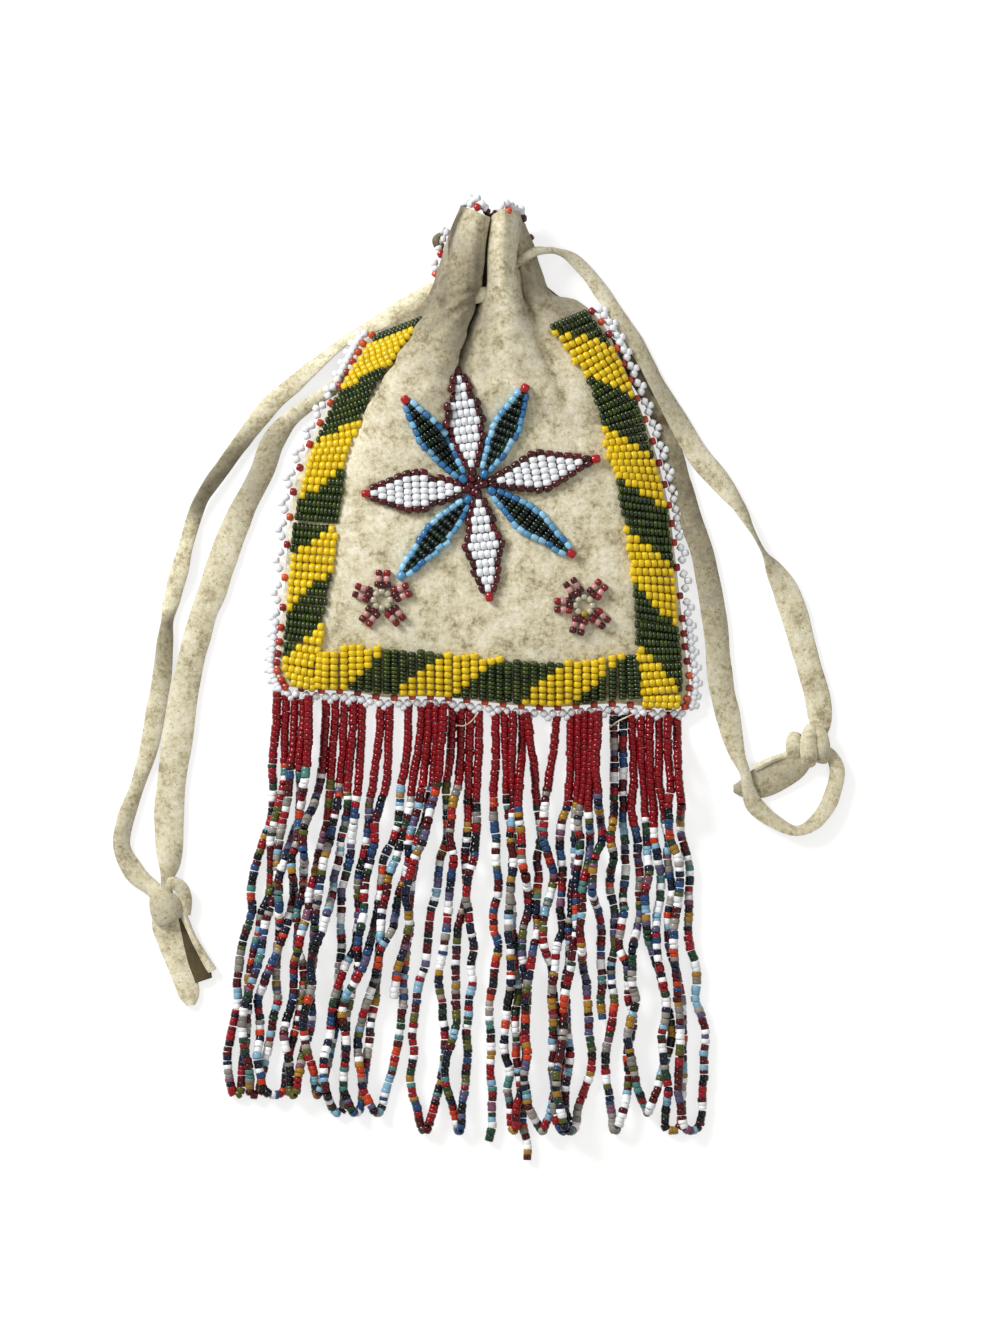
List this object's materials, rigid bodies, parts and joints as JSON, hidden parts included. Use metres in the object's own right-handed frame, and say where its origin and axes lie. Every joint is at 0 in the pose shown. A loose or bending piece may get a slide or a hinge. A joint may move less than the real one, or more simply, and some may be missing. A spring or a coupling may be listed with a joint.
{
  "type": "beaded dice bag",
  "caption": "Flat hide pouch gathered at the neck by two knotted thongs, with beadwork lanes, a beaded star and a long bead fringe.",
  "frame": {"origin": "middle of the back panel's flat underside, on the surface that the bag lies on", "axes": "+Y from the fringe to the mouth, +Z out of the beaded front, +X to the right of the front as seen"},
  "size_m": [0.2063, 0.2665, 0.0169],
  "materials": {
    "buckskin": "matt tanned hide",
    "thong_hide": "matt tanned hide",
    "yellow_beads": "glossy",
    "white_beads": "glossy",
    "dark_green_beads": "glossy",
    "maroon_beads": "glossy"
  },
  "bodies": {
    "root": {"back_panel": "buckskin", "border_bottom": "yellow_beads", "border_left": "yellow_beads", "border_right": "yellow_beads", "drawstring_left": "thong_hide", "drawstring_right": "thong_hide", "fringe_loop_01": "maroon_beads", "fringe_loop_02": "maroon_beads", "fringe_loop_03": "maroon_beads", "fringe_loop_04": "maroon_beads", "fringe_loop_05": "maroon_beads", "fringe_loop_06": "maroon_beads", "fringe_loop_07": "maroon_beads", "fringe_loop_08": "maroon_beads", "fringe_loop_09": "maroon_beads", "fringe_loop_10": "maroon_beads", "fringe_loop_11": "maroon_beads", "fringe_loop_12": "maroon_beads", "fringe_loop_13": "maroon_beads", "fringe_loop_14": "maroon_beads", "fringe_loop_15": "maroon_beads", "fringe_loop_16": "maroon_beads", "fringe_loop_17": "maroon_beads", "fringe_loop_18": "maroon_beads", "fringe_strand_01": "maroon_beads", "fringe_strand_02": "maroon_beads", "fringe_strand_03": "maroon_beads", "fringe_strand_04": "maroon_beads", "front_panel": "buckskin", "picots_bottom": "white_beads", "picots_left": "white_beads", "picots_mouth_back": "white_beads", "picots_mouth_front": "white_beads", "picots_right": "white_beads", "rosette_left": "maroon_beads", "rosette_right": "maroon_beads", "star_petal_dark_down_left": "dark_green_beads", "star_petal_dark_down_right": "dark_green_beads", "star_petal_dark_up_left": "dark_green_beads", "star_petal_dark_up_right": "dark_green_beads", "star_petal_white_down": "white_beads", "star_petal_white_left": "white_beads", "star_petal_white_right": "white_beads", "star_petal_white_up": "white_beads"}
  },
  "joints": []
}
